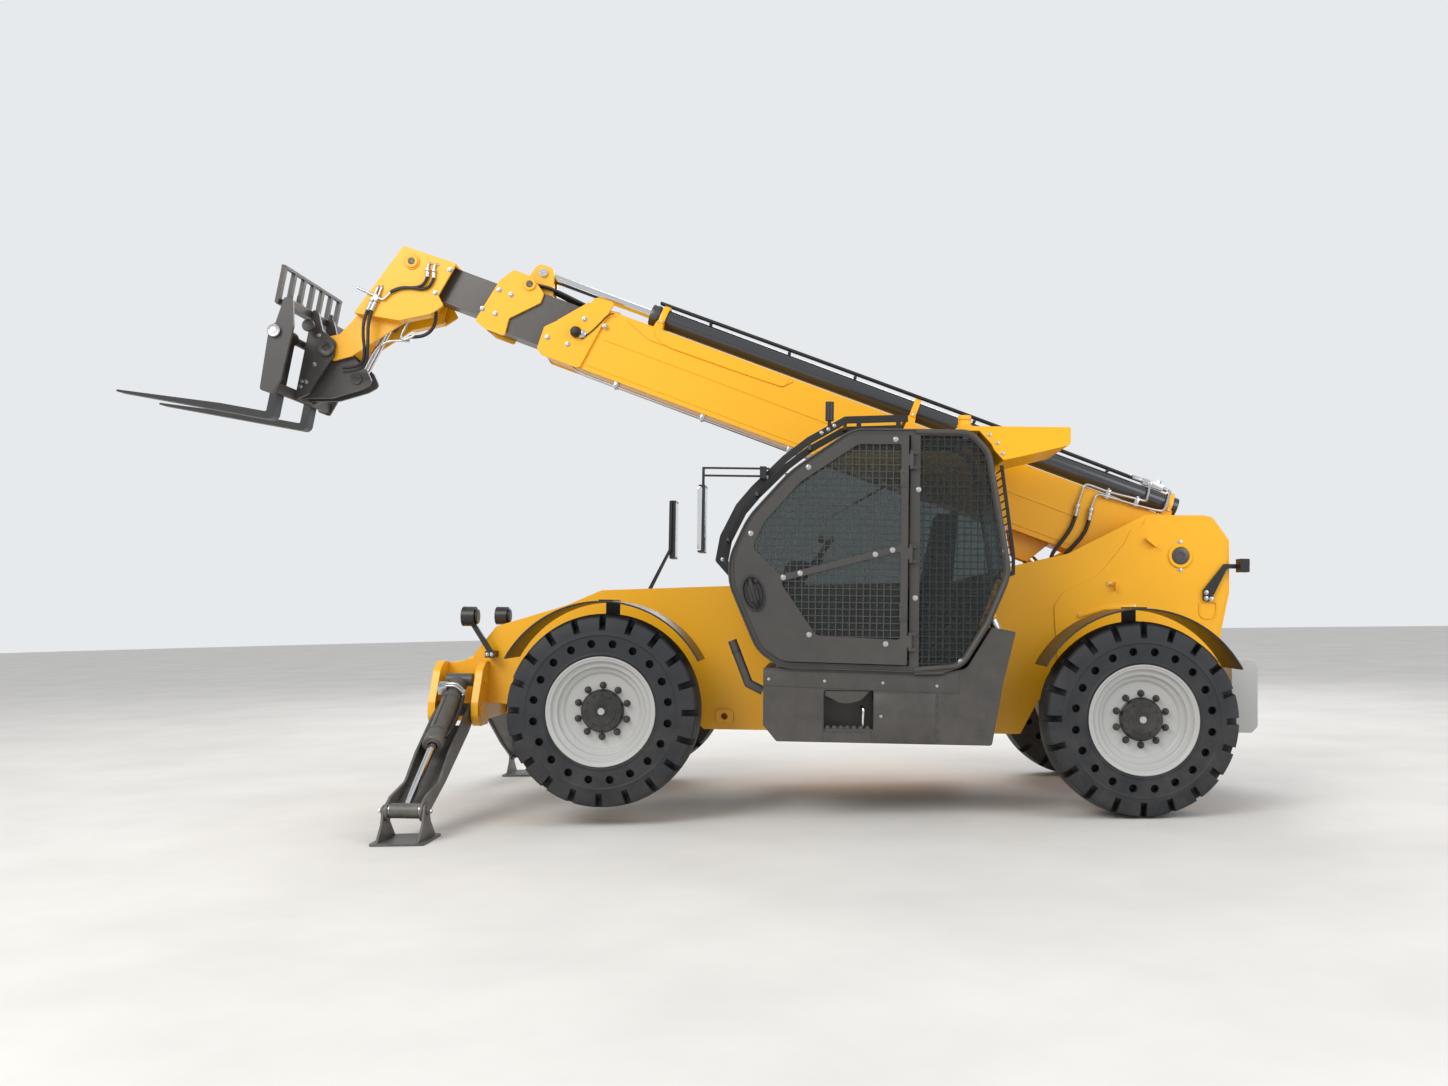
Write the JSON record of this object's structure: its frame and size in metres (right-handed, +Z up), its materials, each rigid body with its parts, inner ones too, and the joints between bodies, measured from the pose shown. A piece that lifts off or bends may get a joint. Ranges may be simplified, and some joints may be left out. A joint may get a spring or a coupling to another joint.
{
  "type": "telehandler",
  "caption": "Telehandler with a telescopic boom, pallet forks on a tilting carriage, an enclosed side cab, stabilizer legs, steered wheels, an opening cab door and engine hood.",
  "frame": {"origin": "middle of the footprint, on the ground", "axes": "+X towards the rear, +Y towards the right side, +Z up"},
  "size_m": [7.7198, 3.45, 3.9164],
  "materials": {
    "yellow": "gloss",
    "dark_grey": "satin",
    "black": "satin",
    "pale_grey": "satin",
    "steel": "satin",
    "chrome": "polished",
    "tyre": "matte",
    "glass": "clear",
    "cabin": "matte",
    "cast": "matte"
  },
  "bodies": {
    "chassis": {"frame_plates": "yellow", "frame_cross": "dark_grey", "nose": "yellow", "axles": "dark_grey", "cab_frame": "dark_grey", "cab_glass": "glass", "cab_guard": "black", "cab_interior": "cabin", "roof_cover": "yellow", "step_box": "dark_grey", "engine_tub": "yellow", "engine": "cast", "counterweight": "pale_grey", "lamps": "black", "mirrors": "black"},
    "cab_door": {"cab_door": "dark_grey", "door_glass": "glass"},
    "engine_hood": {"engine_hood": "yellow"},
    "boom_outer": {"boom_outer": "yellow", "extend_barrel": "black"},
    "boom_mid": {"boom_mid": "yellow", "extend_rod": "chrome"},
    "boom_inner": {"boom_inner": "dark_grey", "boom_head": "yellow"},
    "lift_barrel": {"lift_barrel": "black"},
    "lift_rod": {"lift_rod": "chrome"},
    "tilt_barrel": {"tilt_barrel": "black"},
    "tilt_rod": {"tilt_rod": "chrome"},
    "carriage": {"coupler": "dark_grey", "fork_frame": "dark_grey", "forks": "black"},
    "leg_left": {"leg_left": "pale_grey"},
    "leg_barrel_left": {"leg_barrel_left": "pale_grey"},
    "leg_rod_left": {"leg_rod_left": "chrome"},
    "foot_left": {"foot_left": "pale_grey"},
    "leg_right": {"leg_right": "pale_grey"},
    "leg_barrel_right": {"leg_barrel_right": "pale_grey"},
    "leg_rod_right": {"leg_rod_right": "chrome"},
    "foot_right": {"foot_right": "pale_grey"},
    "knuckle_front_left": {"knuckle_front_left": "dark_grey", "fender_front_left": "black"},
    "wheel_front_left": {"tyre_front_left": "tyre", "rim_front_left": "pale_grey"},
    "knuckle_front_right": {"knuckle_front_right": "dark_grey", "fender_front_right": "black"},
    "wheel_front_right": {"tyre_front_right": "tyre", "rim_front_right": "pale_grey"},
    "knuckle_rear_left": {"knuckle_rear_left": "dark_grey", "fender_rear_left": "black"},
    "wheel_rear_left": {"tyre_rear_left": "tyre", "rim_rear_left": "pale_grey"},
    "knuckle_rear_right": {"knuckle_rear_right": "dark_grey", "fender_rear_right": "black"},
    "wheel_rear_right": {"tyre_rear_right": "tyre", "rim_rear_right": "pale_grey"}
  },
  "joints": [
    {"name": "boom_lift", "type": "hinge", "parent": "chassis", "child": "boom_outer", "pos_m": [3.42269, 0, 1.62595], "axis": [0, 1, 0], "range_deg": [-22.8, 50.2]},
    {"name": "boom_extend", "type": "slide", "parent": "boom_outer", "child": "boom_mid", "axis": [-0.9295, 0, 0.3688], "range_m": [-0.2, 2.9]},
    {"name": "boom_tip_extend", "type": "slide", "parent": "boom_mid", "child": "boom_inner", "axis": [-0.9295, 0, 0.3688], "range_m": [-0.201, 2.901]},
    {"name": "carriage_tilt", "type": "hinge", "parent": "boom_inner", "child": "carriage", "pos_m": [-2.47132, 0, 3.21339], "axis": [0, 1, 0], "range_deg": [-75, 22]},
    {"name": "lift_cylinder_pivot", "type": "hinge", "parent": "chassis", "child": "lift_barrel", "pos_m": [3.40047, 0, 0.68518], "axis": [0, 1, 0], "range_deg": [-12.15, 26.66]},
    {"name": "lift_rod_slide", "type": "slide", "parent": "lift_barrel", "child": "lift_rod", "axis": [-0.7054, 0, 0.7088], "range_m": [-0.23275, 0.51068]},
    {"name": "tilt_cylinder_pivot", "type": "hinge", "parent": "boom_inner", "child": "tilt_barrel", "pos_m": [-1.84812, 0, 3.80529], "axis": [0, 1, 0], "range_deg": [-0.98, 3.32]},
    {"name": "tilt_rod_slide", "type": "slide", "parent": "tilt_barrel", "child": "tilt_rod", "axis": [-0.4737, 0, -0.8807], "range_m": [-0.31704, 0.09358]},
    {"name": "stabilizer_left", "type": "hinge", "parent": "chassis", "child": "leg_left", "pos_m": [-1.452, -0.545, 0.68598], "axis": [-0.9995, 0, 0.0321], "range_deg": [0, 98]},
    {"name": "stabilizer_cylinder_left", "type": "hinge", "parent": "chassis", "child": "leg_barrel_left", "pos_m": [-1.44574, -0.47, 0.88088], "axis": [-0.9995, 0, 0.0321], "range_deg": [-0.19, 94.13]},
    {"name": "stabilizer_rod_left", "type": "slide", "parent": "leg_barrel_left", "child": "leg_rod_left", "axis": [-0.0176, -0.8358, -0.5488], "range_m": [-0.28938, 0.00058]},
    {"name": "foot_tilt_left", "type": "hinge", "parent": "leg_left", "child": "foot_left", "pos_m": [-1.46842, -1.545, 0.175], "axis": [-0.9995, 0, 0.0321], "range_deg": [-20, 20]},
    {"name": "stabilizer_right", "type": "hinge", "parent": "chassis", "child": "leg_right", "pos_m": [-1.452, 0.545, 0.68598], "axis": [0.9995, 0, -0.0321], "range_deg": [0, 98]},
    {"name": "stabilizer_cylinder_right", "type": "hinge", "parent": "chassis", "child": "leg_barrel_right", "pos_m": [-1.44574, 0.47, 0.88088], "axis": [0.9995, 0, -0.0321], "range_deg": [-0.19, 94.13]},
    {"name": "stabilizer_rod_right", "type": "slide", "parent": "leg_barrel_right", "child": "leg_rod_right", "axis": [-0.0176, 0.8358, -0.5488], "range_m": [-0.28938, 0.00058]},
    {"name": "foot_tilt_right", "type": "hinge", "parent": "leg_right", "child": "foot_right", "pos_m": [-1.46842, 1.545, 0.175], "axis": [0.9995, 0, -0.0321], "range_deg": [-20, 20]},
    {"name": "steer_front_left", "type": "hinge", "parent": "chassis", "child": "knuckle_front_left", "pos_m": [-0.37779, -0.745, 0.7065], "axis": [0.0321, 0, 0.9995], "range_deg": [-33, 33]},
    {"name": "spin_front_left", "type": "hinge", "parent": "knuckle_front_left", "child": "wheel_front_left", "pos_m": [-0.37779, -1.0225, 0.7065], "axis": [0, 1, 0], "continuous": true},
    {"name": "steer_front_right", "type": "hinge", "parent": "chassis", "child": "knuckle_front_right", "pos_m": [-0.37779, 0.745, 0.7065], "axis": [0.0321, 0, 0.9995], "range_deg": [-33, 33]},
    {"name": "spin_front_right", "type": "hinge", "parent": "knuckle_front_right", "child": "wheel_front_right", "pos_m": [-0.37779, 1.0225, 0.7065], "axis": [0, 1, 0], "continuous": true},
    {"name": "steer_rear_left", "type": "hinge", "parent": "chassis", "child": "knuckle_rear_left", "pos_m": [2.9375, -0.745, 0.6], "axis": [0.0321, 0, 0.9995], "range_deg": [-33, 33]},
    {"name": "spin_rear_left", "type": "hinge", "parent": "knuckle_rear_left", "child": "wheel_rear_left", "pos_m": [2.9375, -1.0225, 0.6], "axis": [0, 1, 0], "continuous": true},
    {"name": "steer_rear_right", "type": "hinge", "parent": "chassis", "child": "knuckle_rear_right", "pos_m": [2.9375, 0.745, 0.6], "axis": [0.0321, 0, 0.9995], "range_deg": [-33, 33]},
    {"name": "spin_rear_right", "type": "hinge", "parent": "knuckle_rear_right", "child": "wheel_rear_right", "pos_m": [2.9375, 1.0225, 0.6], "axis": [0, 1, 0], "continuous": true},
    {"name": "cab_door_hinge", "type": "hinge", "parent": "chassis", "child": "cab_door", "pos_m": [1.54113, -1.1963, 1.54532], "axis": [0.0321, 0, 0.9995], "range_deg": [0, 85]},
    {"name": "engine_hood_hinge", "type": "hinge", "parent": "chassis", "child": "engine_hood", "pos_m": [0.54512, 0.3753, 1.40523], "axis": [0.9995, 0, -0.0321], "range_deg": [0, 55]}
  ],
  "couplings": [
    {"joint": "boom_tip_extend", "follows": "boom_extend", "ratio": 1},
    {"joint": "lift_cylinder_pivot", "follows": "boom_lift", "ratio": 0.52946},
    {"joint": "lift_rod_slide", "follows": "boom_lift", "m_per_rad": 0.58118},
    {"joint": "tilt_cylinder_pivot", "follows": "carriage_tilt", "ratio": -0.04411},
    {"joint": "tilt_rod_slide", "follows": "carriage_tilt", "m_per_rad": 0.24157},
    {"joint": "stabilizer_cylinder_left", "follows": "stabilizer_left", "ratio": 0.9586},
    {"joint": "stabilizer_rod_left", "follows": "stabilizer_left", "m_per_rad": -0.16885},
    {"joint": "stabilizer_cylinder_right", "follows": "stabilizer_right", "ratio": 0.9586},
    {"joint": "stabilizer_rod_right", "follows": "stabilizer_right", "m_per_rad": -0.16885},
    {"joint": "steer_front_right", "follows": "steer_front_left", "ratio": 1},
    {"joint": "steer_rear_right", "follows": "steer_rear_left", "ratio": 1}
  ]
}
